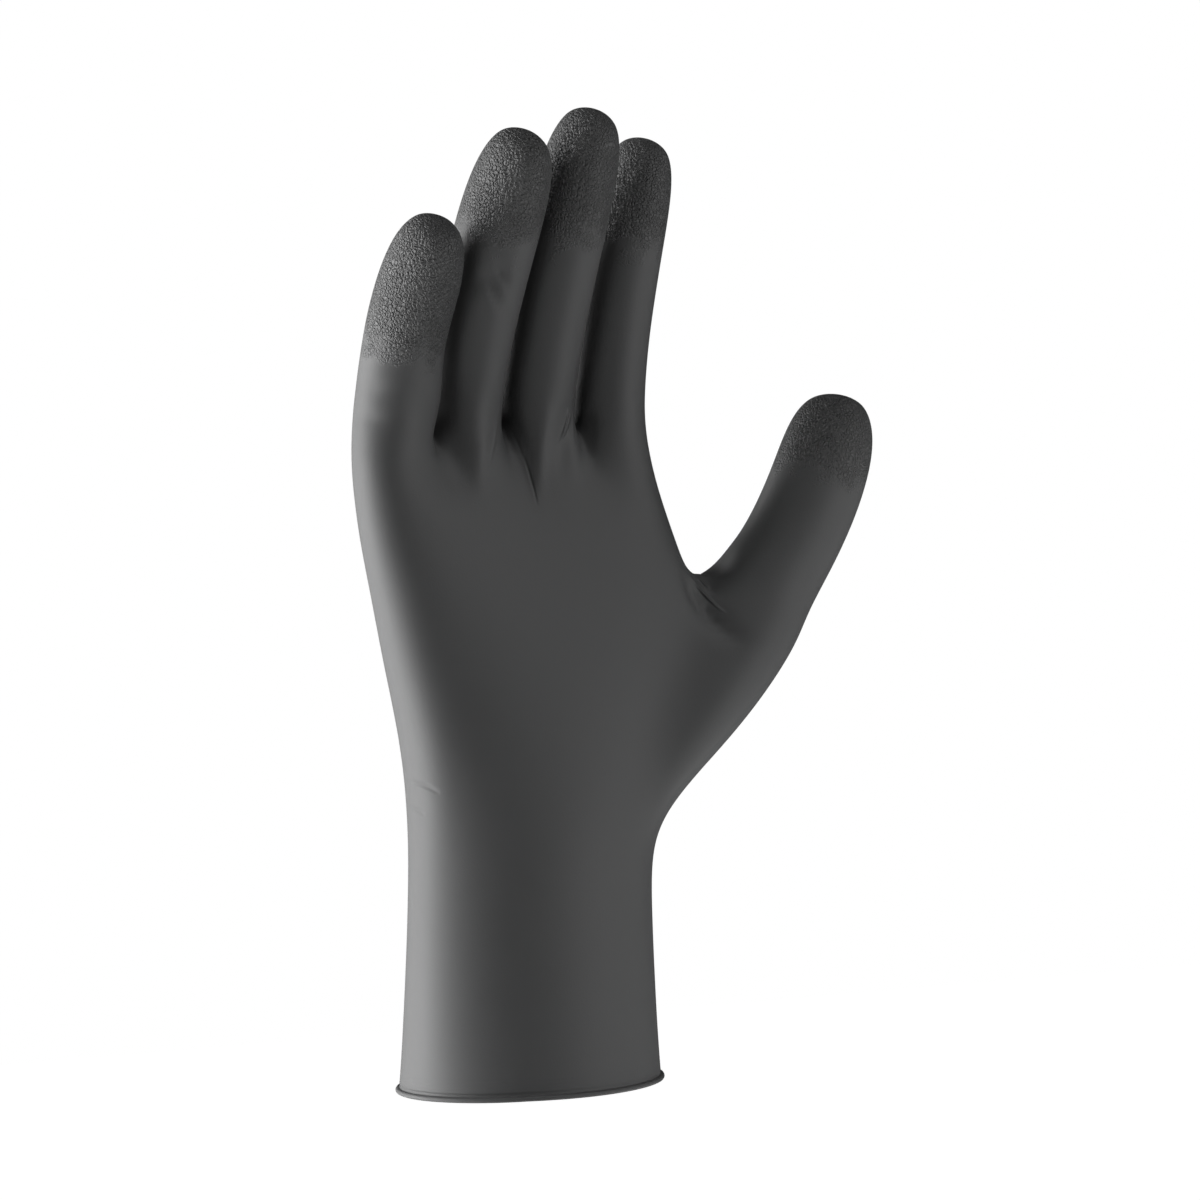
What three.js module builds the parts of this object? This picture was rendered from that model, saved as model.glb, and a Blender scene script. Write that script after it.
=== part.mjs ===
// A disposable exam glove, filled out as it is on a right hand: cuff down, palm to the front (-Y),
// thumb to the right (+X). Millimetres, +Z up, the origin at the middle of the cuff's mouth. The glove
// is dipped in one piece, so it is one solid: an outer skin, an inner skin one wall further in, and the
// bead rolled at the cuff.
import * as THREE from "three";

// Film and bead.
const filmWall = 1; // stands in for a real film of about 0.12
const beadThickness = 2;

// Cuff and wrist.
const cuffLength = 56; // rim to wrist
const cuffWidth = 68;
const cuffDepth = 53;
const wristWidth = 64.6;
const wristDepth = 43;

// Palm, from the wrist to the row where the fingers begin.
const palmLength = 95;
const palmWidth = 86;
const palmDepth = 31;
const palmLean = 3; // the edges of the finger row lie this far behind the wrist
const palmArch = 10.5; // and its middle this much further
const palmDrift = -2.5; // and this far towards the little finger
const webRise = 8; // crotch between two fingers, above the row where they begin
const webDip = 2.4; // valley between two fingers at that row
const thumbWebRise = 1.5; // crotch between thumb and palm, above the row where the thumb parts

// The thumb's root: the middle of the ring where it parts from the palm.
const thumbReach = 62; // out from the axis
const thumbRise = 59; // above the wrist
const thumbForward = 5; // in front of the axis
const thumbRootWidth = 30;
const thumbRootDepth = 27;
const thumbSplay = 38; // degrees that it leans out there

// Digits. Lengths run along the middle from root to tip; lean is degrees outwards to +X, curl is degrees
// forwards to the palm side, each at the root and at the tip.
const digitSizes = {
  little: { length: 63, width: 19, depth: 22, lean: [0, 3.5], curl: [9, 36] },
  ring: { length: 85.5, width: 19, depth: 22.5, lean: [0, 4], curl: [12, 33] },
  middle: { length: 91, width: 19.2, depth: 22, lean: [0, 4.5], curl: [11, 25] },
  index: { length: 85.5, width: 19, depth: 21, lean: [1, 7.5], curl: [-3, 17] },
  thumb: { length: 66.5, width: 25.2, depth: 22.4, lean: [46, 2], curl: [6, 6] },
};

// Cuff rings, rim first. height is a share of cuffLength; flare runs from 0, the wrist's size, to 1,
// the rim's.
const cuffRings = [
  { height: 0.05, flare: 0.97 },
  { height: 0.24, flare: 0.66 },
  { height: 0.48, flare: 0.36 },
  { height: 0.74, flare: 0.1 },
  { height: 1.0, flare: 0 },
];

// Palm rings that still hold the thumb's root. height is a share of palmLength. little and thumb are the
// reach of the palm's two edges as shares of half of palmWidth, depth a share of palmDepth. open runs
// from 0, a plain wrist ring, to 1, a palm and a thumb side by side, and fill evens out the dip between
// the two. The lobe columns place the thumb's part as shares of thumbReach, thumbRise, thumbRootWidth,
// thumbRootDepth and thumbSplay.
const thenarRings = [
  {
    height: 0.1, little: 0.75, thumb: 0.78, depth: 1.36, open: 0.2, fill: 0.9,
    lobeOut: 0.16, lobeUp: 0.24, lobeWidth: 1.78, lobeDepth: 1.42, tilt: 0.3,
  },
  {
    height: 0.22, little: 0.765, thumb: 0.84, depth: 1.29, open: 0.42, fill: 0.9,
    lobeOut: 0.39, lobeUp: 0.43, lobeWidth: 1.43, lobeDepth: 1.32, tilt: 0.56,
  },
  {
    height: 0.35, little: 0.81, thumb: 0.93, depth: 1.2, open: 0.64, fill: 0.85,
    lobeOut: 0.62, lobeUp: 0.62, lobeWidth: 1.26, lobeDepth: 1.22, tilt: 0.8,
  },
  {
    height: 0.49, little: 0.88, thumb: 1.06, depth: 1.13, open: 0.84, fill: 0.7,
    lobeOut: 0.83, lobeUp: 0.81, lobeWidth: 1.12, lobeDepth: 1.1, tilt: 0.93,
  },
  {
    height: 0.67, little: 0.95, thumb: 1.17, depth: 1.06, open: 1, fill: 0.3,
    lobeOut: 1, lobeUp: 1, lobeWidth: 1, lobeDepth: 1, tilt: 1,
  },
];

// Palm rings above the thumb, the last of them the row where the fingers begin.
const palmRings = [
  { height: 0.8, little: 1.01, thumb: 1.09, depth: 1.0 },
  { height: 0.9, little: 1.035, thumb: 1.02, depth: 0.98 },
  { height: 1.0, little: 1.04, thumb: 0.96, depth: 0.97 },
];

// Rings up a digit: along is a share of its length, girth a share of its width and depth.
const fingerRings = [
  { along: 0.14, girth: 0.98 },
  { along: 0.27, girth: 0.97 },
  { along: 0.4, girth: 0.98 },
  { along: 0.53, girth: 1.01 },
  { along: 0.66, girth: 1.02 },
  { along: 0.79, girth: 0.98 },
  { along: 0.9, girth: 0.84 },
  { along: 0.97, girth: 0.53 },
];
const thumbRings = [
  { along: 0.18, girth: 1.06 },
  { along: 0.34, girth: 1.02 },
  { along: 0.5, girth: 1.02 },
  { along: 0.65, girth: 1.01 },
  { along: 0.78, girth: 0.97 },
  { along: 0.89, girth: 0.83 },
  { along: 0.965, girth: 0.53 },
];

// The palm ring's columns from the little finger's edge to the thumb's. across is a share of its half
// width, behind a share of palmArch. The outer two columns have one point each, the others one in front
// and one behind.
const palmColumns = [
  { across: -1, behind: 0.12 },
  { across: -0.9, behind: 0.26 },
  { across: -0.72, behind: 0.5 },
  { across: -0.485, behind: 0.82 },
  { across: -0.245, behind: 1.03 },
  { across: 0, behind: 1.08 },
  { across: 0.245, behind: 1.03 },
  { across: 0.49, behind: 0.86 },
  { across: 0.725, behind: 0.6 },
  { across: 0.905, behind: 0.4 },
  { across: 1, behind: 0.3 },
];
const digitAngles = [180, 225, 270, 315, 0, 45, 90, 135]; // round a digit, from its little-finger side
const rootRingPoints = 24;
const ovalPower = 2.6; // squareness of the palm's section
const archPower = 2.2; // the arch stays near the fingers, for the film spans the hollow of the palm
const digitHull = 1.108; // an eight-point ring is this much wider than the tube that it smooths to

// Folds on the palm side, pressed into the film along a line from top to bottom. Both ends are given as
// [across, up]: across as a share of half of palmWidth, up as a share of palmLength above the wrist.
// depth and width are millimetres, width being where the valley has fallen to about a third.
const palmFolds = [
  { fold: "little to ring", top: [-0.54, 1.08], bottom: [-0.42, 0.93], depth: 1.6, width: 3.2 },
  { fold: "ring to middle", top: [-0.09, 1.09], bottom: [-0.05, 0.9], depth: 2, width: 3 },
  { fold: "middle to index", top: [0.38, 1.09], bottom: [0.36, 0.94], depth: 1.8, width: 3 },
  { fold: "thumb crotch", top: [1.08, 0.73], bottom: [1.33, 0.5], depth: 1.5, width: 3.4 },
];

const radians = THREE.MathUtils.degToRad;
const mix = THREE.MathUtils.lerp;
const vec = (x, y, z) => new THREE.Vector3(x, y, z);

// The control cage: points, and the four-cornered faces between them.
const cage = { points: [], faces: [] };

function addPoint(point) {
  cage.points.push(point);
  return cage.points.length - 1;
}

// Joins two rings of equal count. Both run from the little-finger side by the front to the thumb side.
function joinRings(lower, upper) {
  lower.forEach((at, i) => {
    const next = (i + 1) % lower.length;
    cage.faces.push([at, lower[next], upper[next], upper[i]]);
  });
}

// One point of a 24-point wrist ring: an ellipse, from the little-finger side by the front.
function ovalPoint(index) {
  const angle = radians(180 + (index * 360) / rootRingPoints);
  return [Math.cos(angle), Math.sin(angle), 0];
}

// One point of the palm's squarer section: across, through to the front (-1) or back (+1), and its arch.
function palmPoint(column, side) {
  const { across, behind } = palmColumns[column];
  return [across, side * (1 - Math.abs(across) ** ovalPower) ** (1 / ovalPower), behind];
}

function cuffRing({ height, flare }) {
  const halfWidth = mix(wristWidth, cuffWidth, flare) / 2;
  const halfDepth = mix(wristDepth, cuffDepth, flare) / 2;
  return Array.from({ length: rootRingPoints }, (_, i) => {
    const [across, through] = ovalPoint(i);
    return addPoint(vec(across * halfWidth, through * halfDepth, height * cuffLength));
  });
}

// The palm's edges, middle and depth at one height.
function palmFrame({ height, little, thumb, depth }) {
  const drift = palmDrift * height;
  const left = (-little * palmWidth) / 2 + drift;
  const right = (thumb * palmWidth) / 2 + drift;
  return {
    middle: (left + right) / 2,
    halfWidth: (right - left) / 2,
    halfDepth: (depth * palmDepth) / 2,
    back: palmLean * height,
    arch: palmArch * height ** archPower,
    level: cuffLength + height * palmLength,
  };
}

function placeOnPalm(frame, [across, through, behind]) {
  return vec(
    frame.middle + across * frame.halfWidth,
    frame.back + behind * frame.arch + through * frame.halfDepth,
    frame.level,
  );
}

// A point of the thumb's lobe: angle 0 is its outer side, 270 its front.
function placeOnLobe(ring, angle) {
  const tilt = radians(thumbSplay * ring.tilt);
  const across = (Math.cos(angle) * ring.lobeWidth * thumbRootWidth) / 2;
  const through = (Math.sin(angle) * ring.lobeDepth * thumbRootDepth) / 2;
  return vec(
    ring.lobeOut * thumbReach + across * Math.cos(tilt),
    -ring.lobeOut * thumbForward + through,
    cuffLength + ring.lobeUp * thumbRise - across * Math.sin(tilt),
  );
}

// A 24-point ring that opens from a wrist oval into palm and thumb. Points 0 to 9 and 15 to 23 belong
// to the palm, points 10 to 14 go round the thumb's lobe.
function thenarRing(ring) {
  const frame = palmFrame(ring);
  const points = Array.from({ length: rootRingPoints }, (_, i) => {
    if (i >= 10 && i <= 14) {
      const wristAngle = (i - 12) * 15;
      const lobeAngle = (i - 12) * 45;
      return placeOnLobe(ring, radians(mix(wristAngle, lobeAngle, ring.open)));
    }
    const oval = ovalPoint(i);
    const palm = i <= 9 ? palmPoint(i, -1) : palmPoint(24 - i, 1);
    return placeOnPalm(frame, oval.map((value, k) => mix(value, palm[k], ring.open)));
  });
  for (const dip of [9, 15]) {
    const level = points[dip - 1].clone().add(points[dip + 1]).divideScalar(2);
    points[dip].lerp(level, ring.fill);
  }
  return points.map(addPoint);
}

function palmRing(ring) {
  const frame = palmFrame(ring);
  return Array.from({ length: 20 }, (_, i) => {
    const at = i <= 10 ? palmPoint(i, -1) : palmPoint(20 - i, 1);
    return addPoint(placeOnPalm(frame, at));
  });
}

// Rings up a digit from its root ring, closed by four faces round one point at the tip.
function addDigit(root, size, rings) {
  const at = root
    .reduce((sum, i) => sum.add(cage.points[i]), vec(0, 0, 0))
    .divideScalar(root.length);
  const heading = (share) => {
    const lean = radians(mix(...size.lean, share));
    const curl = radians(mix(...size.curl, share));
    return vec(Math.sin(lean), -Math.sin(curl) * Math.cos(lean), Math.cos(curl) * Math.cos(lean));
  };
  let lower = root;
  let reached = 0;
  for (const { along, girth } of rings) {
    at.addScaledVector(heading((reached + along) / 2), (along - reached) * size.length);
    reached = along;
    const up = heading(along);
    const across = vec(1, 0, 0).addScaledVector(up, -up.x).normalize();
    const through = vec(0, 0, 0).crossVectors(up, across);
    const upper = digitAngles.map((degrees) => {
      const angle = radians(degrees);
      return addPoint(
        at
          .clone()
          .addScaledVector(across, (Math.cos(angle) * girth * digitHull * size.width) / 2)
          .addScaledVector(through, (Math.sin(angle) * girth * digitHull * size.depth) / 2),
      );
    });
    joinRings(lower, upper);
    lower = upper;
  }
  const tip = addPoint(at.clone().addScaledVector(heading(1), (1 - reached) * size.length));
  for (const corner of [1, 3, 5, 7]) {
    cage.faces.push([lower[corner - 1], lower[corner], lower[(corner + 1) % 8], tip]);
  }
}

// The crotch point between two parted rings: midway from front to back, a little above them.
function crotch(front, back, rise) {
  const middle = cage.points[front].clone().add(cage.points[back]).divideScalar(2);
  return addPoint(middle.add(vec(0, 0, rise)));
}

function buildCage() {
  const body = [...cuffRings.map(cuffRing), ...thenarRings.map(thenarRing)];
  body.slice(1).forEach((ring, i) => joinRings(body[i], ring));

  // The thumb parts from the palm.
  const parting = body.at(-1);
  const thumbWeb = crotch(parting[9], parting[15], thumbWebRise);
  const thumbRoot = [thumbWeb, ...parting.slice(9, 16)];
  addDigit(thumbRoot, digitSizes.thumb, thumbRings);

  // The palm goes on to the row where the four fingers part.
  const palm = [[...parting.slice(0, 10), thumbWeb, ...parting.slice(15)], ...palmRings.map(palmRing)];
  palm.slice(1).forEach((ring, i) => joinRings(palm[i], ring));
  const row = palm.at(-1);
  const front = row.slice(1, 10);
  const back = row.slice(11).reverse();
  for (const at of [2, 4, 6]) {
    cage.points[front[at]].y += webDip;
    cage.points[back[at]].y -= webDip;
  }
  const webs = [row[0], ...[2, 4, 6].map((at) => crotch(front[at], back[at], webRise)), row[10]];
  ["little", "ring", "middle", "index"].forEach((name, i) => {
    const [a, b, c] = [2 * i, 2 * i + 1, 2 * i + 2];
    const root = [webs[i], front[a], front[b], front[c], webs[i + 1], back[c], back[b], back[a]];
    addDigit(root, digitSizes[name], fingerRings);
  });
  return body[0];
}

// Each point's neighbours: the points across its edges, and those across its faces.
function neighbours({ points, faces }) {
  const around = points.map(() => ({ edges: new Map(), diagonals: [] }));
  const count = (map, key) => map.set(key, (map.get(key) ?? 0) + 1);
  for (const face of faces) {
    face.forEach((at, i) => {
      count(around[at].edges, face[(i + 1) % 4]);
      count(around[at].edges, face[(i + 3) % 4]);
      around[at].diagonals.push(face[(i + 2) % 4]);
    });
  }
  return around;
}

const average = (list) =>
  list.reduce((sum, p) => sum.add(p), vec(0, 0, 0)).divideScalar(list.length);

// An edge that only one face uses lies on the open rim. There a point moves along the rim alone: it is
// averaged with its two neighbours on the rim, weighing weight to their one.
const rimNeighbours = (around) =>
  [...around.edges].filter(([, uses]) => uses === 1).map(([at]) => at);
const alongRim = (points, at, [before, after], weight) =>
  points[at]
    .clone()
    .multiplyScalar(weight)
    .add(points[before])
    .add(points[after])
    .divideScalar(weight + 2);

// One step of Catmull-Clark subdivision.
function subdivide(mesh) {
  const { points, faces } = mesh;
  const around = neighbours(mesh);
  const centres = faces.map((face) => average(face.map((i) => points[i])));
  const facesAt = new Map();
  const edgeKey = (a, b) => (a < b ? `${a}_${b}` : `${b}_${a}`);
  faces.forEach((face, f) =>
    face.forEach((a, i) => {
      const key = edgeKey(a, face[(i + 1) % 4]);
      facesAt.set(key, [...(facesAt.get(key) ?? []), f]);
    }),
  );
  const touching = points.map(() => []);
  faces.forEach((face, f) => face.forEach((i) => touching[i].push(f)));

  const moved = points.map((point, i) => {
    const rim = rimNeighbours(around[i]);
    if (rim.length) return alongRim(points, i, rim, 6);
    const n = around[i].edges.size;
    const spokes = average([...around[i].edges.keys()].map((k) => average([point, points[k]])));
    const ring = average(touching[i].map((f) => centres[f]));
    return ring.addScaledVector(spokes, 2).addScaledVector(point, n - 3).divideScalar(n);
  });
  const finer = { points: [...moved, ...centres], faces: [] };
  const middles = new Map();
  const middleOf = (a, b) => {
    const key = edgeKey(a, b);
    if (!middles.has(key)) {
      const sides = facesAt.get(key);
      const inner = sides.length === 2 ? sides.map((f) => centres[f]) : [];
      middles.set(key, finer.points.push(average([points[a], points[b], ...inner])) - 1);
    }
    return middles.get(key);
  };
  faces.forEach((face, f) =>
    face.forEach((a, i) => {
      const [after, before] = [face[(i + 1) % 4], face[(i + 3) % 4]];
      finer.faces.push([a, middleOf(a, after), points.length + f, middleOf(before, a)]);
    }),
  );
  return finer;
}

// Moves every point onto the smooth surface that the subdivision tends to.
function settle(mesh) {
  const around = neighbours(mesh);
  const points = mesh.points.map((point, i) => {
    const rim = rimNeighbours(around[i]);
    if (rim.length) return alongRim(mesh.points, i, rim, 4);
    const n = around[i].edges.size;
    const settled = point.clone().multiplyScalar(n * n);
    for (const k of around[i].edges.keys()) settled.addScaledVector(mesh.points[k], 4);
    for (const k of around[i].diagonals) settled.add(mesh.points[k]);
    return settled.divideScalar(n * (n + 5));
  });
  return { points, faces: mesh.faces };
}

function normalsOf({ points, faces }) {
  const normals = points.map(() => vec(0, 0, 0));
  for (const [a, b, c, d] of faces) {
    const [ac, bd] = [points[c].clone().sub(points[a]), points[d].clone().sub(points[b])];
    const normal = ac.cross(bd);
    for (const i of [a, b, c, d]) normals[i].add(normal);
  }
  return normals.map((n) => n.normalize());
}

// How far the folds press in the film at a point of the palm side.
function foldDepth(point, normal) {
  const facing = Math.max(-normal.y, 0);
  return palmFolds.reduce((sum, { top, bottom, depth, width }) => {
    const [a, b] = [top, bottom].map(
      ([across, up]) => new THREE.Vector2((across * palmWidth) / 2, cuffLength + up * palmLength),
    );
    const along = b.clone().sub(a);
    const offset = new THREE.Vector2(point.x, point.z).sub(a);
    const reached = THREE.MathUtils.clamp(offset.dot(along) / along.lengthSq(), 0, 1);
    const away = offset.addScaledVector(along, -reached).length();
    return sum + facing * depth * (1 - 0.45 * reached) * Math.exp(-((away / width) ** 2));
  }, 0);
}

// The open rim as a loop of point numbers, from the little-finger side by the front.
function rimLoop(mesh) {
  const next = new Map();
  const around = neighbours(mesh);
  for (const face of mesh.faces) {
    face.forEach((a, i) => {
      const b = face[(i + 1) % 4];
      if (around[a].edges.get(b) === 1) next.set(a, b);
    });
  }
  const loop = [[...next.keys()][0]];
  while (next.get(loop.at(-1)) !== loop[0]) loop.push(next.get(loop.at(-1)));
  return loop;
}

// The bead's section as [outwards, upwards], from the outer skin round its outside to the inner skin.
function beadSection() {
  const radius = beadThickness / 2;
  return [75, 35, -5, -45, -90, -135, -180].map((degrees) => [
    radius - filmWall + radius * Math.cos(radians(degrees)),
    radius + radius * Math.sin(radians(degrees)),
  ]);
}

function buildGlove() {
  buildCage();
  const skin = settle(subdivide(cage));
  const smooth = normalsOf(skin);
  skin.points.forEach((p, i) => p.addScaledVector(smooth[i], -foldDepth(p, smooth[i])));
  const normals = normalsOf(skin);
  const lining = skin.points.map((p, i) => p.clone().addScaledVector(normals[i], -filmWall));
  const count = skin.points.length;
  const points = [...skin.points, ...lining];
  const faces = [
    ...skin.faces,
    ...skin.faces.map(([a, b, c, d]) => [d, c, b, a].map((i) => i + count)),
  ];
  const loop = rimLoop(skin);
  const rows = beadSection().map(([out, up]) =>
    loop.map((i) => {
      const outwards = vec(normals[i].x, normals[i].y, 0).normalize();
      const at = skin.points[i].clone().addScaledVector(outwards, out);
      return points.push(vec(at.x, at.y, up)) - 1;
    }),
  );
  const strips = [loop, ...rows, loop.map((i) => i + count)];
  strips.slice(1).forEach((row, r) => {
    row.forEach((at, i) => {
      const next = (i + 1) % row.length;
      faces.push([strips[r][next], strips[r][i], at, row[next]]);
    });
  });
  return { points, faces };
}

// Each four-cornered face becomes two triangles, cut along its shorter diagonal.
function toGeometry({ points, faces }) {
  const index = faces.flatMap(([a, b, c, d]) => {
    const cutAc = points[a].distanceTo(points[c]) <= points[b].distanceTo(points[d]);
    return cutAc ? [a, b, c, a, c, d] : [a, b, d, b, c, d];
  });
  const geometry = new THREE.BufferGeometry().setFromPoints(points);
  geometry.setIndex(index);
  geometry.computeVertexNormals();
  return geometry;
}

const nitrile = new THREE.MeshStandardMaterial({ color: 0x37393a, roughness: 0.55, metalness: 0 });

const glove = new THREE.Group();
const film = new THREE.Mesh(toGeometry(buildGlove()), nitrile);
film.name = "glove_film";
glove.add(film);

export default glove;
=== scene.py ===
import bpy
import numpy as np
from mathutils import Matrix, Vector


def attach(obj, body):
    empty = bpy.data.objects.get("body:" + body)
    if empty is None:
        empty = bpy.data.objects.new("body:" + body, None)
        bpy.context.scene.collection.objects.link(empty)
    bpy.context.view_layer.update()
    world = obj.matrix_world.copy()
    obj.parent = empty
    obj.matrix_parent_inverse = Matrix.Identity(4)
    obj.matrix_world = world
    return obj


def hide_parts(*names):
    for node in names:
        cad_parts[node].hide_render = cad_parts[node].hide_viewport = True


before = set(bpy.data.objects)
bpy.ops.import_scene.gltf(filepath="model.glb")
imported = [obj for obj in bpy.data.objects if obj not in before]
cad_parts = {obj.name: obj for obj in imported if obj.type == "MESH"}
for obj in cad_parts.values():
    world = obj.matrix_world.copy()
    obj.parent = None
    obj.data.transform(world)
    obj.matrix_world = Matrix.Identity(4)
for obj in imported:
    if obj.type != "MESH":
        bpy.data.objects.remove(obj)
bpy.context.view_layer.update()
print("frame loaded")

millimetre = 0.001  # in metres; shapes are worked out in mm
cameraTurn = -30  # degrees that the photograph's view is turned about +Z from straight on


def mix(low, high, share):
    return low + (high - low) * share


# To the right and straight ahead, for a level view turned by some degrees.
def viewAxes(degrees):
    turn = np.radians(degrees)
    return np.array([np.cos(turn), np.sin(turn), 0]), np.array([-np.sin(turn), np.cos(turn), 0])


# Lengths in mm, angles in degrees; the rows' columns are named above each table.
gloveForm = {
    "filmWall": 1.0,
    "cuffLength": 56, "cuffWidth": 68, "cuffDepth": 53, "wristWidth": 64.6, "wristDepth": 43,
    "palmLength": 95, "palmWidth": 86, "palmDepth": 31,
    "palmLean": 3, "palmArch": 10.5, "palmDrift": -2.5,
    "webBase": 8, "webRise": (12, 17, 17), "webDip": 2.8, "thumbWebRise": 2.5,
    "thumbReach": 62, "thumbRise": 59, "thumbForward": 5,  # middle of the thumb's root
    "thumbRootWidth": 30, "thumbRootDepth": 27, "thumbSplay": 38,
    "ovalPower": 2.6, "archPower": 2.2,
    "digitHull": 1.108,  # how far a digit's control points stand outside its smoothed skin
    # height as a share of the cuff, flare from wrist (0) to rim (1)
    "cuffRings": [(0.12, 0.86), (0.24, 0.66), (0.48, 0.36), (0.74, 0.1), (1.0, 0)],
    # height, little edge, thumb edge, depth, open, fill, lobe: out, up, width, depth, tilt
    "thenarRings": [
        (0.1, 0.75, 0.78, 1.36, 0.2, 0.9, 0.16, 0.24, 1.78, 1.42, 0.3),
        (0.22, 0.765, 0.84, 1.29, 0.42, 0.9, 0.39, 0.43, 1.43, 1.32, 0.56),
        (0.35, 0.81, 0.93, 1.2, 0.64, 0.85, 0.62, 0.62, 1.26, 1.22, 0.8),
        (0.49, 0.88, 1.06, 1.13, 0.84, 0.7, 0.83, 0.81, 1.12, 1.1, 0.93),
        (0.67, 0.95, 1.17, 1.06, 1, 0.3, 1, 1, 1, 1, 1),
    ],
    # height, little edge, thumb edge, depth
    "palmRings": [(0.8, 1.0, 1.09, 1.0), (0.9, 1.02, 1.02, 0.98), (1.0, 1.03, 0.96, 0.97)],
    # across as a share of the half width, behind as a share of the arch
    "palmColumns": [
        (-1, 0.12), (-0.9, 0.26), (-0.72, 0.5), (-0.485, 0.82), (-0.245, 1.03), (0, 1.08),
        (0.245, 1.03), (0.49, 0.86), (0.725, 0.6), (0.905, 0.4), (1, 0.3),
    ],
    # length, width, depth, lean at root and tip, curl at root and tip, length that is pebbled
    "digits": {
        "little": (63, 19.8, 19.2, -2.5, 7, 7, 40, 38),
        "ring": (85.5, 19.6, 22.5, 0, 4.6, 12, 33, 30),
        "middle": (91.3, 19.6, 20.6, 0, 4.5, 11, 25, 36),
        "index": (85.5, 19, 21, 1, 7.5, -3, 17, 31),
        "thumb": (66.4, 25.2, 22.4, 43.5, 4.7, 6, 6, 26),
    },
    # along as a share of the length, girth as a share of width and depth
    "fingerRings": [
        (0.14, 0.98), (0.27, 0.97), (0.4, 0.98), (0.53, 1.01), (0.66, 1.02), (0.79, 1.0),
        (0.9, 0.88), (0.97, 0.59),
    ],
    "thumbRings": [
        (0.18, 1.06), (0.34, 1.02), (0.5, 1.02), (0.65, 1.01), (0.78, 0.97), (0.89, 0.83),
        (0.965, 0.53),
    ],
    "smoothing": 3,  # subdivision levels of the control cage
}

# A tip share is 0 at a fingertip and 1 at the edge of its pebbles.
cagePoints, cageFaces, cageTipShare = [], [], []
farFromTips = 4.0
ringCount = 24  # points of a ring: 0 to 9 in front, 10 to 14 the thumb's side, 15 to 23 behind
digitCount = 8  # points of a ring round a finger or the thumb
webColumns = (2, 4, 6)  # columns of the palm's front and back that the webs between fingers join


def addPoints(points, tipShare=farFromTips):
    first = sum(len(part) for part in cagePoints)
    cagePoints.append(np.atleast_2d(points).astype(float))
    cageTipShare.append(np.full(len(cagePoints[-1]), tipShare))
    return np.arange(first, first + len(cagePoints[-1]))


def pointsAt(numbers):
    return np.concatenate(cagePoints)[numbers]


# Quads from each pair of neighbours in one ring to the same pair in the next.
def joinRings(lower, upper):
    cageFaces.append(np.stack([lower, np.roll(lower, -1), np.roll(upper, -1), upper], 1))


# Points of an ellipse: cosine across, sine through, from the little-finger side by the front.
def wristSection():
    turn = np.radians(180 + np.arange(ringCount) * 360 / ringCount)
    return np.stack([np.cos(turn), np.sin(turn), 0 * turn], 1)


# A superellipse: through is (1 - |across|^power)^(1/power), minus in front and plus behind; the
# third column is how far the column lies back in the palm's arch.
def palmSection(form):
    across, behind = np.array(form["palmColumns"], float).T
    through = (1 - abs(across) ** form["ovalPower"]) ** (1 / form["ovalPower"])
    front = np.stack([across, -through, behind], 1)
    return front, front * (1, -1, 1)


# The section stretched between the palm's two edges, pushed back by the arch and the lean.
def placeOnPalm(form, section, height, little, thumb, depth):
    drift = form["palmDrift"] * height
    left, right = np.array([-little, thumb]) * form["palmWidth"] / 2 + drift
    arch = form["palmArch"] * height ** form["archPower"]
    across, through, behind = section.T
    return np.stack([
        (left + right) / 2 + across * (right - left) / 2,
        form["palmLean"] * height + behind * arch + through * depth * form["palmDepth"] / 2,
        np.full(len(section), form["cuffLength"] + height * form["palmLength"]),
    ], 1)


# The ellipse at a height up the cuff, its width and depth mixed from wrist to rim by the flare.
def cuffRing(form, height, flare):
    size = [
        mix(form["wristWidth"], form["cuffWidth"], flare) / 2,
        mix(form["wristDepth"], form["cuffDepth"], flare) / 2, 0,
    ]
    return addPoints(wristSection() * size + [0, 0, height * form["cuffLength"]])


# A ring that opens from a wrist ellipse into a palm and a tilted ellipse, the thumb's lobe; fill
# draws the dips between the two towards the middle of their neighbours.
def thenarRing(form, height, little, thumb, depth, opened, fill, out, up, width, deep, tilt):
    front, back = palmSection(form)
    wrist = wristSection()
    palmPart = np.r_[0:10, 15:ringCount]
    section = mix(wrist[palmPart], np.concatenate([front[:10], back[9:0:-1]]), opened)
    ring = np.zeros((ringCount, 3))
    ring[palmPart] = placeOnPalm(form, section, height, little, thumb, depth)
    step = np.arange(-2, 3)
    turn = np.radians(mix(step * 360 / ringCount, step * 360 / digitCount, opened))
    lean = np.radians(form["thumbSplay"] * tilt)
    across = np.cos(turn) * width * form["thumbRootWidth"] / 2
    through = np.sin(turn) * deep * form["thumbRootDepth"] / 2
    ring[10:15] = np.stack([
        out * form["thumbReach"] + across * np.cos(lean),
        through - out * form["thumbForward"],
        form["cuffLength"] + up * form["thumbRise"] - across * np.sin(lean),
    ], 1)
    for dip in (9, 15):
        ring[dip] = mix(ring[dip], (ring[dip - 1] + ring[dip + 1]) / 2, fill)
    return addPoints(ring)


# The palm's superellipse right round: to the thumb's edge in front, and back again behind.
def palmRing(form, height, little, thumb, depth):
    front, back = palmSection(form)
    section = np.concatenate([front, back[9:0:-1]])
    return addPoints(placeOnPalm(form, section, height, little, thumb, depth))


# A digit's direction a share of the way up: leaning to +X and curling to -Y, both mixed evenly.
def digitHeading(size, share):
    lean = np.radians(mix(size[3], size[4], share))
    curl = np.radians(mix(size[5], size[6], share))
    return np.array([np.sin(lean), -np.sin(curl) * np.cos(lean), np.cos(curl) * np.cos(lean)])


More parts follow.
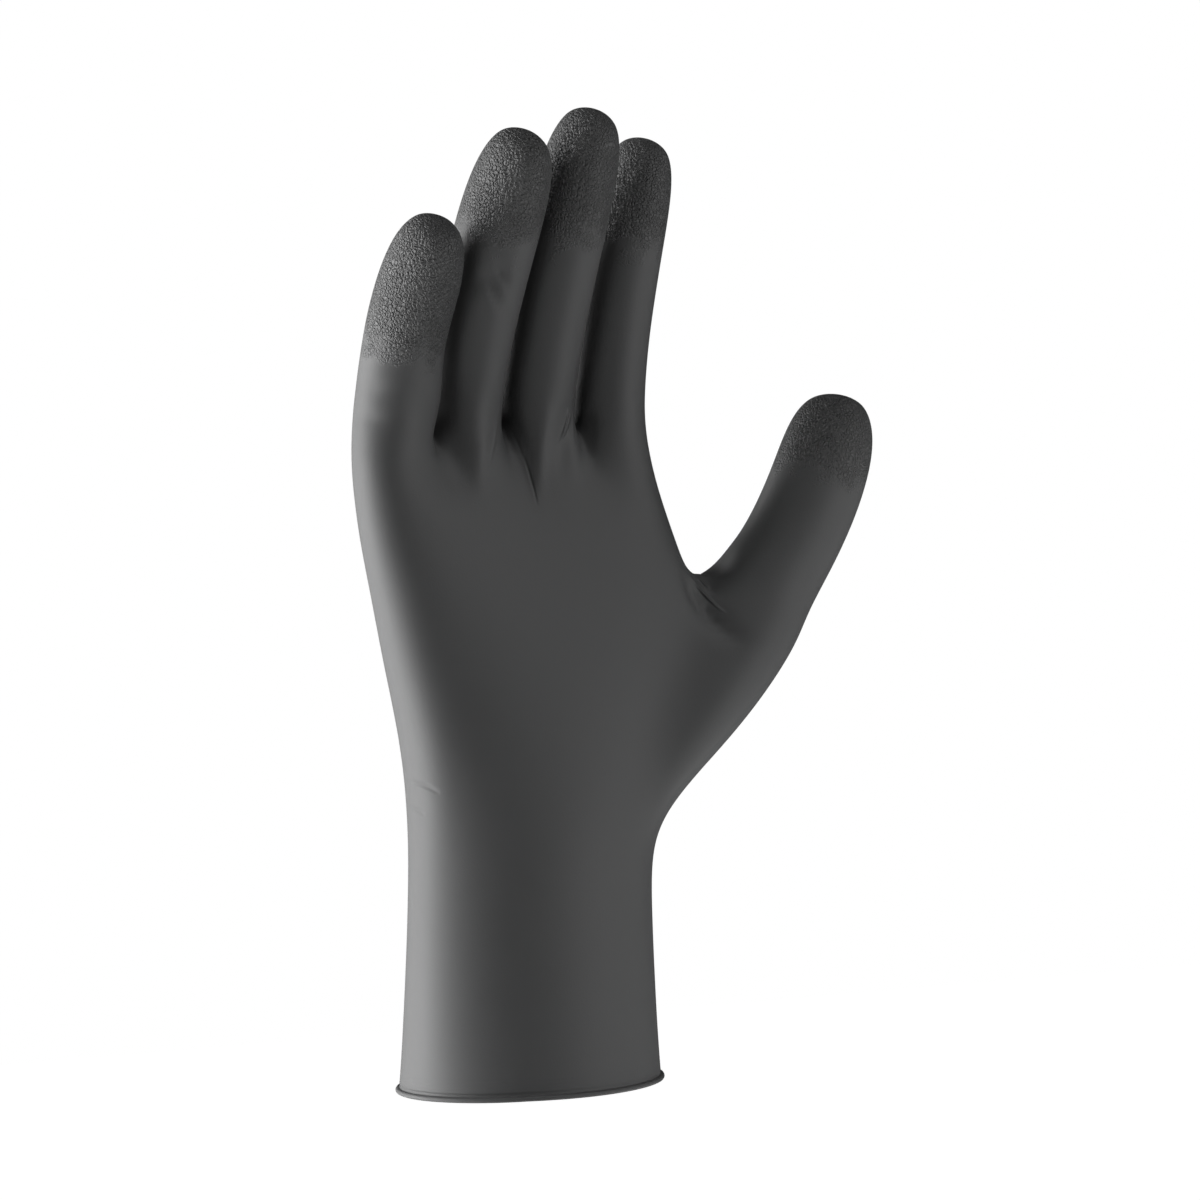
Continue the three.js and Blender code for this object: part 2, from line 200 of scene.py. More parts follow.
# Ellipses square to a path that bends evenly, closed by four faces round the tip. The path starts
# sink below the middle of the root.
def addDigit(form, root, size, rings, sink=0):
    length, width, depth, pebbled = *size[:3], size[7]
    at = pointsAt(root).mean(0) - [0, 0, sink]
    turn = np.radians(180 + np.arange(digitCount) * 360 / digitCount)[:, None]
    reached, lower = 0, root
    for along, girth in rings:
        at = at + digitHeading(size, (reached + along) / 2) * (along - reached) * length
        reached = along
        up = digitHeading(size, along)
        across = np.array([1, 0, 0]) - up * up[0]
        across /= np.linalg.norm(across)
        through = np.cross(up, across)
        spread = girth * form["digitHull"] / 2
        oval = np.cos(turn) * across * width + np.sin(turn) * through * depth
        upper = addPoints(at + spread * oval, (1 - along) * length / pebbled)
        joinRings(lower, upper)
        lower = upper
    tip = addPoints(at + digitHeading(size, 1) * (1 - reached) * length, 0)[0]
    corner = np.arange(1, digitCount, 2)
    after = lower[(corner + 1) % digitCount]
    cageFaces.append(np.stack(
        [lower[corner - 1], lower[corner], after, np.full(len(corner), tip)], 1))


# A point midway between the front and the back, raised.
def addWeb(front, back, rise):
    return addPoints(pointsAt([front, back]).mean(0) + [0, 0, rise])[0]


# Rings up the cuff and the thumb's root; there the thumb parts, and the palm's rings go on to the
# webs, from which the four fingers rise.
def buildCage(form):
    rings = [cuffRing(form, *row) for row in form["cuffRings"]]
    rings += [thenarRing(form, *row) for row in form["thenarRings"]]
    for lower, upper in zip(rings, rings[1:]):
        joinRings(lower, upper)
    parting = rings[-1]
    thumbWeb = addWeb(parting[9], parting[15], form["thumbWebRise"])
    thumbRoot = np.r_[thumbWeb, parting[9:16]]
    addDigit(form, thumbRoot, form["digits"]["thumb"], form["thumbRings"])
    palm = [np.r_[parting[:10], thumbWeb, parting[15:]]]
    palm += [palmRing(form, *row) for row in form["palmRings"]]
    for lower, upper in zip(palm, palm[1:]):
        joinRings(lower, upper)
    row = palm[-1]
    front, back = row[1:10], row[:10:-1]
    for at in webColumns:
        cagePoints[-1][front[at] - row[0], 1] += form["webDip"]
        cagePoints[-1][back[at] - row[0], 1] -= form["webDip"]
    webs = [addWeb(front[at], back[at], rise) for at, rise in zip(webColumns, form["webRise"])]
    webs = [row[0]] + webs + [row[10]]
    extra = np.r_[0, np.array(form["webRise"]) - form["webBase"], 0]
    for i, name in enumerate(("little", "ring", "middle", "index")):
        a = 2 * i
        root = np.r_[webs[i], front[a:a + 3], webs[i + 1], back[a:a + 3][::-1]]
        sink = (extra[i] + extra[i + 1]) / digitCount
        addDigit(form, root, form["digits"][name], form["fingerRings"], sink)


def meshFrom(name, points, faces):
    mesh = bpy.data.meshes.new(name)
    mesh.from_pydata(points, [], faces)
    mesh.update()
    return mesh


# Smooths the cage with a Subdivision Surface; hands back its points, faces and tip shares.
def smoothedCage(form):
    mesh = meshFrom("cage", np.concatenate(cagePoints), np.concatenate(cageFaces))
    cage = bpy.data.objects.new("cage", mesh)
    bpy.context.scene.collection.objects.link(cage)
    share = mesh.attributes.new("tipShare", "FLOAT", "POINT")
    share.data.foreach_set("value", np.concatenate(cageTipShare).astype(np.float32))
    smooth = cage.modifiers.new("smooth", "SUBSURF")
    smooth.levels = smooth.render_levels = form["smoothing"]
    mesh = cage.evaluated_get(bpy.context.evaluated_depsgraph_get()).to_mesh()
    points = np.zeros(len(mesh.vertices) * 3, np.float32)
    mesh.vertices.foreach_get("co", points)
    corners = np.zeros(len(mesh.loops), np.int32)
    mesh.loops.foreach_get("vertex_index", corners)
    shares = np.zeros(len(mesh.vertices), np.float32)
    mesh.attributes["tipShare"].data.foreach_get("value", shares)
    cage.to_mesh_clear()
    bpy.data.objects.remove(cage)
    return points.reshape(-1, 3).astype(float), corners.reshape(-1, 4), shares


# A point's normal is the sum, over its faces, of the cross product of their diagonals, made one
# long.
def normalsOf(points, faces):
    a, b, c, d = (points[faces[:, k]] for k in range(4))
    cross = np.cross(c - a, d - b)
    normals = np.zeros_like(points)
    for axis in range(3):
        for k in range(4):
            normals[:, axis] += np.bincount(faces[:, k], cross[:, axis], len(points))
    return normals / np.linalg.norm(normals, axis=1)[:, None]


buildCage(gloveForm)
skin, skinFaces, tipShares = smoothedCage(gloveForm)
print("skin smoothed", len(skinFaces), "faces")

# Small pulls on the skin: middle, reach and move, all in mm.
pulls = [
    ((48.2, -1.0, 122.8), 3.0, (-0.3, 0, 1.9)),  # rounds the bottom of the thumb's crotch
    ((44.4, -1.8, 124.2), 2.6, (0, 0, 0.9)),
    ((53.2, -1.5, 126.8), 5.0, (1.2, 0, -1.5)),
    ((-24.5, 1.5, 168), 9.0, (1.7, 0, 0)),  # little finger: wider at its root, slimmer at its tip
    ((-26.5, -13.5, 203), 8.0, (-1.1, 0, 0)),
]

# A fold is seen from one side. Its points are across (to the right as seen) and up, then how wide
# it is to the left and to the right of a line that runs down, and how deep it presses in (a minus
# stands out). Crisp is 2 for a round valley and towards 1 for a sharp one.
palmView, backView = cameraTurn, 180 + cameraTurn
folds = [
    # little finger to ring finger: valley out of the gap, then the ring finger's tapering base
    (palmView, 1.9, [(-22.5, 164, 5, 4, 1.0), (-19.3, 155.5, 7, 4.5, 1.9),
                     (-16.8, 149.5, 6, 3.8, 1.4), (-14.8, 143.5, 5, 3, 0.1)]),
    (palmView, 1.7, [(-10.4, 163, 4, 1.6, -0.2), (-11.4, 156, 3, 1.5, -0.8),
                     (-12.2, 150, 2.5, 1.4, -0.65), (-12.2, 144, 2, 1.4, -0.05)]),
    # ring finger to middle finger
    (palmView, 1.9, [(-7.6, 166, 4, 3, 1.0), (-5.2, 160, 5, 3, 1.7), (-2.6, 154, 5, 2.6, 1.5),
                     (-0.2, 148, 4, 1.6, 1.0), (1.3, 141.5, 2.5, 1, 0.1)]),
    (palmView, 1.6, [(3.8, 163, 3, 1.6, -0.3), (2.5, 155.5, 3, 1.4, -0.9),
                     (1.9, 149, 2, 1.3, -0.8), (1.5, 142.5, 1.5, 1.2, -0.1)]),
    # middle finger to index finger
    (palmView, 1.8, [(9.3, 166, 2.5, 2, 0.9), (8.2, 160, 2.5, 2, 1.4), (7.5, 154, 2, 1.6, 0.8),
                     (7.4, 149, 1.6, 1.2, 0.1)]),
    (palmView, 1.7, [(11.3, 161, 1.3, 1.3, -0.3), (10.8, 155, 1.3, 1.2, -0.6),
                     (10.8, 147.5, 1.2, 1.2, -0.1)]),
    (palmView, 1.9, [(13.2, 163, 1.8, 2.8, 1.2), (13.2, 156, 1.8, 2.6, 0.8),
                     (13.2, 149, 1.6, 2.4, 0.1)]),
    # little finger's two bending creases
    (palmView, 2.0, [(-42.5, 169.5, 2.2, 2.2, 0.3), (-37.5, 168.8, 2.2, 2.2, 0.45),
                     (-31.0, 168.0, 2.6, 2.6, 0.05)]),
    (palmView, 2.0, [(-42.5, 162.8, 2.0, 2.0, 0.3), (-38.0, 162.2, 2.0, 2.0, 0.45),
                     (-32.0, 161.4, 2.6, 2.6, 0.05)]),
    # ring finger's joint: two slanting creases over a soft swelling
    (palmView, 2.0, [(-8.2, 201.0, 1.4, 1.2, 0.1), (-6.4, 197.0, 1.6, 1.2, 1.5),
                     (-4.2, 192.4, 1.4, 1.2, 0.1)]),
    (palmView, 2.0, [(-11.0, 198.0, 1.4, 1.2, 0.1), (-9.0, 193.6, 1.6, 1.2, 1.5),
                     (-6.8, 188.6, 1.4, 1.2, 0.1)]),
    (palmView, 2.0, [(-10.4, 192.2, 2.2, 2.2, -0.8), (-8.6, 187.2, 2.6, 2.6, -0.4)]),
    # thumb's crotch to the palm: a valley on each side of the fine ridge
    (palmView, 1.6, [(38.6, 124.0, 1.0, 0.9, 1.0), (41.3, 119.8, 1.6, 1.2, 3.2),
                     (44.8, 115.4, 2.0, 1.4, 3.0), (49.8, 110.8, 2.4, 1.7, 1.5),
                     (54.5, 108.2, 2.6, 2, 0.1)]),
    (palmView, 1.8, [(41.5, 124.8, 1.0, 1.0, 0.9), (44.3, 121.8, 1.3, 1.3, 1.4),
                     (48.4, 118.3, 2, 2, 0.2)]),
    # back of the hand: valleys below the gaps, knuckles between them
    (backView, 2.0, [(-7, 158, 3, 3, 1.0), (-7, 150, 4.5, 4.5, 1.0), (-6.5, 138, 5, 5, 0.05)]),
    (backView, 2.0, [(12.8, 158, 3, 3, 1.0), (12.6, 150, 4.5, 4.5, 1.0), (12, 137, 5, 5, 0.05)]),
    (backView, 2.0, [(30.5, 154, 3, 3, 0.8), (29.5, 147, 4, 4, 0.8), (28, 135, 5, 5, 0.05)]),
    (backView, 2.0, [(-18, 148, 7, 7, -0.6), (-17.5, 142, 8, 8, -0.5)]),
    (backView, 2.0, [(2, 150, 7, 7, -0.6), (2.5, 143, 8, 8, -0.5)]),
    (backView, 2.0, [(20, 147, 6, 6, -0.6), (20, 140, 7, 7, -0.5)]),
    # back of the fingers: creases over the middle joints
    (backView, 2.0, [(-24, 193, 1.3, 1.3, 0.05), (-19, 192, 1.3, 1.3, 0.35),
                     (-15, 193, 1.3, 1.3, 0.05)]),
    (backView, 2.0, [(-23, 189, 1.2, 1.2, 0.05), (-18, 188.2, 1.2, 1.2, 0.3),
                     (-14, 189, 1.2, 1.2, 0.05)]),
    (backView, 2.0, [(-5, 197, 1.3, 1.3, 0.05), (0, 196, 1.3, 1.3, 0.35),
                     (5, 197, 1.3, 1.3, 0.05)]),
    (backView, 2.0, [(-5, 192.6, 1.2, 1.2, 0.05), (0, 191.8, 1.2, 1.2, 0.3),
                     (5, 192.6, 1.2, 1.2, 0.05)]),
    (backView, 2.0, [(13, 191, 1.3, 1.3, 0.05), (17.5, 190, 1.3, 1.3, 0.35),
                     (22, 191, 1.3, 1.3, 0.05)]),
    (backView, 2.0, [(13, 187, 1.2, 1.2, 0.05), (17.5, 186.2, 1.2, 1.2, 0.3),
                     (22, 187, 1.2, 1.2, 0.05)]),
    # back of the thumb's web, and the wrist
    (backView, 1.8, [(-39, 121, 2, 2, 0.5), (-34, 112, 2.5, 2.5, 0.7), (-30, 101, 3, 3, 0.05)]),
    (backView, 1.8, [(-43.5, 118, 1.6, 1.6, 0.4), (-40, 109, 2, 2, 0.5),
                     (-37.5, 99, 2.5, 2.5, 0.05)]),
    (backView, 2.0, [(-14, 75, 2.4, 2.4, 0.05), (1, 72, 2.4, 2.4, 0.5),
                     (17, 75.5, 2.4, 2.4, 0.05)]),
    (backView, 2.0, [(-9, 66.5, 2.2, 2.2, 0.05), (4, 65, 2.2, 2.2, 0.35),
                     (15, 67, 2.2, 2.2, 0.05)]),
]


# A fold lowers the film by depth * exp(-(distance from its line / width)^crisp), with width and
# depth mixed evenly between the line's points, and fades with the film's turn from the view.
def foldDepths(points, normals):
    total = np.zeros(len(points))
    for view, crisp, line in folds:
        right, ahead = viewAxes(view)
        facing = np.maximum(-normals @ ahead, 0)
        seen = np.stack([points @ right, points[:, 2]], 1)
        line = np.array(line, float)
        nearest = np.full(len(points), np.inf)
        press = np.zeros(len(points))
        for start, end in zip(line, line[1:]):
            offset, step = seen - start[:2], end[:2] - start[:2]
            share = np.clip(offset @ step / (step @ step), 0, 1)
            away = np.linalg.norm(offset - share[:, None] * step, axis=1)
            rightHand = (step[0] * offset[:, 1] - step[1] * offset[:, 0] > 0).astype(int)
            width = mix(start[2 + rightHand], end[2 + rightHand], share)
            here = mix(start[4], end[4], share) * np.exp(-(away / width) ** crisp)
            closer = away < nearest
            nearest = np.where(closer, away, nearest)
            press = np.where(closer, here, press)
        total += facing * press
    return total


# A pull moves points by its move * exp(-(distance from its middle / reach)^2).
for middle, reach, move in pulls:
    distance = np.linalg.norm(skin - middle, axis=1)
    skin = skin + np.exp(-(distance / reach) ** 2)[:, None] * np.array(move)
skinNormals = normalsOf(skin, skinFaces)
skin = skin - skinNormals * foldDepths(skin, skinNormals)[:, None]
skinNormals = normalsOf(skin, skinFaces)
print("folds pressed")

bead = {
    "aroundCount": 192,
    "rollRadius": 0.62, "rollOut": 0.3,  # the roll's middle lies rollOut outside the film
    "rollTurns": (118, 95, 70, 45, 20, -5, -30, -55, -80, -105, -130),  # degrees round the roll
    "filmTop": 6.5, "filmBottom": 1.45, "filmRows": 23,  # film between the skin and the roll
    # fine rolled lines above the bead: height, how far out, width
    "lines": [(1.75, -0.16, 0.25), (2.35, 0.12, 0.25), (3.1, 0.07, 0.25), (3.9, 0.06, 0.3),
              (5.0, 0.04, 0.3)],
    "linesAt": 205, "linesSpread": 55, "linesElsewhere": 0.3,  # where round the cuff they show
    "inside": [(-0.55, 0.3), (-0.85, 0.7), (-1.0, 1.3)],  # out and up, on the way to the lining
    # how the rim sways up and down: at the left, in front and at the right as the camera sees it
    "sway": (-1.1, 0.3, 0.3), "swayFade": 14.0,
}


# Points in order round the mouth, by their angle about the cuff's middle.
def inOrder(numbers, points):
    return numbers[np.argsort(np.arctan2(points[numbers, 1], points[numbers, 0]))]


# Closes the cuff: rows of points go down the film, round the roll and up inside to the lining.
# A row lies out from the skin's edge by its own offset plus the skin's flare times its drop.
def closeGlove(form, settings):
    lining = skin - skinNormals * form["filmWall"]
    around, count = settings["aroundCount"], len(skin)
    byHeight = np.argsort(skin[:, 2])
    loop, above = inOrder(byHeight[:around], skin), inOrder(byHeight[around:2 * around], skin)
    out = skinNormals[loop] * (1, 1, 0)
    out /= np.linalg.norm(out, axis=1)[:, None]
    edge = skin[loop[0], 2]
    flare = ((skin[loop] - skin[above]) * out).sum(1) / (skin[above, 2] - edge)

    film = np.linspace(settings["filmTop"], settings["filmBottom"], settings["filmRows"])
    angle = np.degrees(np.arctan2(skin[loop, 1], skin[loop, 0])) % 360
    shown = mix(settings["linesElsewhere"], 1,
                np.exp(-((angle - settings["linesAt"]) / settings["linesSpread"]) ** 2))
    lines = sum(far * np.exp(-((film - up) / wide) ** 2) for up, far, wide in settings["lines"])
    turn, radius = np.radians(settings["rollTurns"]), settings["rollRadius"]
    rollOut, rollUp = settings["rollOut"] + radius * np.cos(turn), radius + radius * np.sin(turn)
    insideOut, insideUp = np.array(settings["inside"]).T
    ups = np.concatenate([film, rollUp, insideUp])
    outs = np.concatenate([
        lines[:, None] * shown, np.repeat(np.r_[rollOut, insideOut][:, None], around, 1)])
    outs += (edge - ups)[:, None] * flare
    rows = skin[loop][None] * (1, 1, 0) + outs[:, :, None] * out[None]
    rows[:, :, 2] = ups[:, None]

    rowNumbers = 2 * count + np.arange(len(ups) * around).reshape(len(ups), around)
    strips = np.concatenate([loop[None], rowNumbers, loop[None] + count])
    upper, lower = strips[:-1], strips[1:]
    band = np.stack([upper, lower, np.roll(lower, -1, 1), np.roll(upper, -1, 1)], 2)
    points = np.concatenate([skin, lining, rows.reshape(-1, 3)])
    faces = np.concatenate([skinFaces, skinFaces[:, ::-1] + count, band.reshape(-1, 4)])
    material = np.zeros(len(faces), np.int32)
    material[len(skinFaces):2 * len(skinFaces)] = 1
    shares = np.concatenate([tipShares, tipShares, np.full(rows.shape[0] * around, farFromTips)])

    right, ahead = viewAxes(cameraTurn)
    across, back = points @ right / form["cuffWidth"] * 2, points @ ahead / form["cuffDepth"] * 2
    left, front, rightEnd = settings["sway"]
    sway = left * np.clip(-across, 0, 1) + rightEnd * np.clip(across, 0, 1)
    sway += front * np.clip(-back, 0, 1)
    points[:, 2] += sway * np.exp(-(points[:, 2] / settings["swayFade"]) ** 2)
    return points, faces, material, shares


points, faces, faceMaterials, shares = closeGlove(gloveForm, bead)
glove = bpy.data.objects.new("nitrile_glove", meshFrom("nitrile_glove", points * millimetre, faces))
bpy.context.scene.collection.objects.link(glove)
shareAttribute = glove.data.attributes.new("tipShare", "FLOAT", "POINT")
shareAttribute.data.foreach_set("value", shares.astype(np.float32))
glove.data.polygons.foreach_set("material_index", faceMaterials)
glove.data.shade_smooth()
print("glove closed", len(faces), "faces")


def socketsOf(group, inputs, outputs):
    for name, kind, value in inputs:
        socket = group.interface.new_socket(name=name, in_out="INPUT", socket_type=kind)
        socket.default_value = value
    for name, kind in outputs:
        group.interface.new_socket(name=name, in_out="OUTPUT", socket_type=kind)


# Places nodes in a tree and joins them: node(kind, {settings}, Input_name=value or socket), with
# i0, i1 and so on for inputs by number.
class Wiring:
    def __init__(self, tree):
        self.tree = tree

    def node(self, kind, settings=None, **inputs):
        made = self.tree.nodes.new(kind)
        for key, value in (settings or {}).items():
            setattr(made, key, value)
        for key, value in inputs.items():
            numbered = key[0] == "i" and key[1:].isdigit()
            slot = made.inputs[int(key[1:]) if numbered else key.replace("_", " ")]
            if isinstance(value, bpy.types.NodeSocket):
                self.tree.links.new(value, slot)
            else:
                slot.default_value = value
        return made

    def math(self, operation, *values):
        given = {f"i{k}": value for k, value in enumerate(values)}
        return self.node("ShaderNodeMath", {"operation": operation}, **given).outputs[0]

    def vector(self, operation, *values):
        given = {f"i{k}": value for k, value in enumerate(values)}
        result = self.node("ShaderNodeVectorMath", {"operation": operation}, **given).outputs
        return result["Value" if operation == "DOT_PRODUCT" else "Vector"]

    def noise(self, place, scale, detail=2.0, roughness=0.5):
        return self.node("ShaderNodeTexNoise", Vector=place, Scale=scale, Detail=detail,
                         Roughness=roughness).outputs

    def away(self, value, middle, factor):  # (value - middle) * factor
        return self.math("MULTIPLY", self.math("SUBTRACT", value, middle), factor)


# Scales are noise cells per metre; swings are how far a noise of 0 to 1 moves the tone.
filmPattern = {
    "cloudScale": 28.0, "cloudSwing": 1.4, "mottleScale": 190.0, "mottleSwing": 0.6,
    "roughnessSwing": 0.35, "grainScale": 2200.0,
}


# Cloudy variation of the film: a wide noise and a fine one, mixed into colour and roughness, and
# the fine grain of a matte film as a height from 0 to 1.
def makeFilmTone(pattern):
    group = bpy.data.node_groups.new("filmTone", "ShaderNodeTree")
    socketsOf(group, [
        ("Colour", "NodeSocketColor", (0.02, 0.02, 0.02, 1)),
        ("Variation", "NodeSocketFloat", 0.2), ("Roughness", "NodeSocketFloat", 0.5),
    ], [("Colour", "NodeSocketColor"), ("Roughness", "NodeSocketFloat"),
        ("Height", "NodeSocketFloat")])
    wire = Wiring(group)
    given = wire.node("NodeGroupInput").outputs
    place = wire.node("ShaderNodeTexCoord").outputs["Object"]
    clouds = wire.noise(place, pattern["cloudScale"], 3.0, 0.55)[0]
    mottle = wire.noise(place, pattern["mottleScale"])[0]
    grain = wire.noise(place, pattern["grainScale"], 1.0)[0]
    tone = wire.math("ADD", wire.away(clouds, 0.5, pattern["cloudSwing"]),
                     wire.away(mottle, 0.5, pattern["mottleSwing"]))
    swing = wire.math("MULTIPLY", tone, given["Variation"])
    shade = wire.node("ShaderNodeHueSaturation", Color=given["Colour"],
                      Value=wire.math("ADD", 1.0, swing)).outputs[0]
    roughSwing = wire.math("MULTIPLY", swing, pattern["roughnessSwing"])
    rough = wire.math("ADD", given["Roughness"], roughSwing)
    wire.node("NodeGroupOutput", Colour=shade, Roughness=rough, Height=grain)
    return group


pebblePattern = {
    "cellsPerMetre": 1120.0, "shoulder": 0.28,  # distance from a cell's border to its flat top
    "stirScale": 1300.0, "stirBy": 0.0004,  # metres
    "fade": 0.3, "raggedScale": 200.0, "raggedSwing": 0.5,  # in tip shares
}


# Raised pebbles on the fingertips: Voronoi cells that rise smoothly from the grooves at their
# borders to flat tops. A noise stirs their places, and they fade out before the tip share, made
# ragged by another noise, reaches 1.
def makePebbles(pattern):
    group = bpy.data.node_groups.new("fingertipPebbles", "ShaderNodeTree")
    socketsOf(group, [
        ("Cells per metre", "NodeSocketFloat", pattern["cellsPerMetre"]),
        ("Fade", "NodeSocketFloat", pattern["fade"]),
    ], [("Height", "NodeSocketFloat"), ("Mask", "NodeSocketFloat")])
    wire = Wiring(group)
    given = wire.node("NodeGroupInput").outputs
    place = wire.node("ShaderNodeTexCoord").outputs["Object"]
    share = wire.node("ShaderNodeAttribute", {"attribute_name": "tipShare"}).outputs["Fac"]
    ragged = wire.noise(place, pattern["raggedScale"], 1.0)[0]
    edge = wire.math("ADD", share, wire.away(ragged, 0.5, pattern["raggedSwing"]))
    inside = wire.math("DIVIDE", wire.math("SUBTRACT", 1.0, edge), given["Fade"])
    mask = wire.node("ShaderNodeClamp", Value=inside).outputs[0]
    swirl = wire.noise(place, pattern["stirScale"], 1.0)["Color"]
    stir = wire.vector("SUBTRACT", swirl, (0.5, 0.5, 0.5))
    stirred = wire.vector("ADD", place, wire.vector("MULTIPLY", stir, (pattern["stirBy"],) * 3))
    cells = wire.node("ShaderNodeTexVoronoi", {"feature": "DISTANCE_TO_EDGE"}, Vector=stirred,
                      Scale=given["Cells per metre"]).outputs["Distance"]
    raised = wire.node("ShaderNodeMapRange", {"interpolation_type": "SMOOTHSTEP"},
                       Value=cells, i1=0.0, i2=pattern["shoulder"]).outputs[0]
    wire.node("NodeGroupOutput", Height=wire.math("MULTIPLY", raised, mask), Mask=mask)
    return group


lineReach = {"full": 3.0, "gone": 7.0}  # mm in front of or behind a fine line


# One fine crease or ridge between two places on the film, in mm. Seen from the photograph's side,
# its height is taper * exp(-(offset / width)^2): offset is measured from a line bowed by bend *
# taper, and taper is 4 * share * (1 - share) along it. It fades away from the line's own depth.
def makeFineLine(reach):
    group = bpy.data.node_groups.new("fineLine", "ShaderNodeTree")
    socketsOf(group, [
        ("From", "NodeSocketVector", (0, 0, 0)), ("To", "NodeSocketVector", (0, 0, 1)),
        ("Width", "NodeSocketFloat", 0.3), ("Height", "NodeSocketFloat", 0.1),
        ("Bend", "NodeSocketFloat", 0.0),
    ], [("Height", "NodeSocketFloat")])
    wire = Wiring(group)
    given = wire.node("NodeGroupInput").outputs
    ahead = tuple(viewAxes(cameraTurn)[1])
    place = wire.node("ShaderNodeTexCoord").outputs["Object"]
    inMillimetres = wire.vector("MULTIPLY", place, (1 / millimetre,) * 3)
    offset = wire.vector("SUBTRACT", inMillimetres, given["From"])
    span = wire.vector("SUBTRACT", given["To"], given["From"])
    spanDepth = wire.vector("DOT_PRODUCT", span, ahead)
    depthPart = wire.node("ShaderNodeVectorMath", {"operation": "SCALE"}, i0=ahead, Scale=spanDepth)
    flat = wire.vector("SUBTRACT", span, depthPart.outputs["Vector"])
    share = wire.node("ShaderNodeClamp", Value=wire.math(
        "DIVIDE", wire.vector("DOT_PRODUCT", offset, flat),
        wire.vector("DOT_PRODUCT", flat, flat))).outputs[0]
    rest = wire.math("SUBTRACT", 1.0, share)
    taper = wire.math("MULTIPLY", wire.math("MULTIPLY", share, 4.0), rest)
    square = wire.vector("NORMALIZE", wire.vector("CROSS_PRODUCT", flat, ahead))
    aside = wire.math("SUBTRACT", wire.vector("DOT_PRODUCT", offset, square),
                      wire.math("MULTIPLY", given["Bend"], taper))
    ratio = wire.math("DIVIDE", aside, given["Width"])
    squared = wire.math("MULTIPLY", ratio, ratio)
    profile = wire.math("EXPONENT", wire.math("MULTIPLY", squared, -1.0))
    depthGap = wire.math("SUBTRACT", wire.vector("DOT_PRODUCT", offset, ahead),
                         wire.math("MULTIPLY", spanDepth, share))
    near = wire.node("ShaderNodeMapRange", {"interpolation_type": "SMOOTHSTEP"},
                     Value=wire.math("ABSOLUTE", depthGap), i1=reach["gone"],
                     i2=reach["full"]).outputs[0]
    lit = wire.math("MULTIPLY", wire.math("MULTIPLY", profile, taper), near)
    wire.node("NodeGroupOutput", Height=wire.math("MULTIPLY", lit, given["Height"]))
    return group


filmTone = makeFilmTone(filmPattern)
fingertipPebbles = makePebbles(pebblePattern)
fineLine = makeFineLine(lineReach)

nitrile = {
    "colour": (0.04, 0.0405, 0.041, 1), "roughness": 0.6, "variation": 0.14, "grainDepth": 0.02,
    # the pebbles' colour factor is painted shade that darkens the pebbled fingertips
    "pebbleDepth": 0.48, "pebblePaintedShade": 0.88, "pebbleRoughening": -0.08,
    # from, to, width, height (a minus is a crease), bend
    "fineLines": [
        # thumb's crotch
        ((43.3, -4.3, 125.2), (49.9, -11.3, 115.2), 0.34, 0.6, -0.8),
        ((46.0, -3.2, 124.4), (48.2, -6.0, 121.6), 0.3, 0.5, 0.0),
        ((39.3, -4.8, 130.2), (43.6, -4.4, 124.9), 0.3, 0.4, 0.2),
        # middle finger's right edge down to the palm
        ((11.2, 1.0, 166.6), (8.2, 0.8, 157.4), 0.28, 0.45, 0.4),
        ((12.0, 1.3, 166.2), (9.3, 0.9, 158.6), 0.25, 0.4, 0.3),
        # ring finger to middle finger
        ((-7.0, 2.5, 164.2), (-0.6, 2.4, 152.5), 0.4, -0.15, 0.6),
        ((-0.8, 2.6, 154.5), (0.3, -2.8, 141.5), 0.35, -0.3, 0.2),
        ((-8.9, 1.0, 164.2), (-13.0, -1.0, 149.5), 0.4, 0.2, 0.5),
        # short creases at the wrist
        ((-33.0, 1.5, 75.4), (-29.6, -9.0, 72.6), 0.6, -0.25, 0.4),
        ((-33.0, 1.0, 69.2), (-31.4, -4.6, 67.2), 0.5, -0.2, 0.2),
        # index finger's root
        ((12.4, 1.2, 167.0), (12.6, 1.0, 157.5), 0.3, 0.25, 0.0),
        ((13.9, 2.2, 166.5), (13.6, 1.6, 158.0), 0.3, 0.2, 0.0),
    ],
}
lining = {
    "colour": (0.042, 0.0425, 0.043, 1), "roughness": 0.62, "variation": 0.15, "grainDepth": 0.01,
}
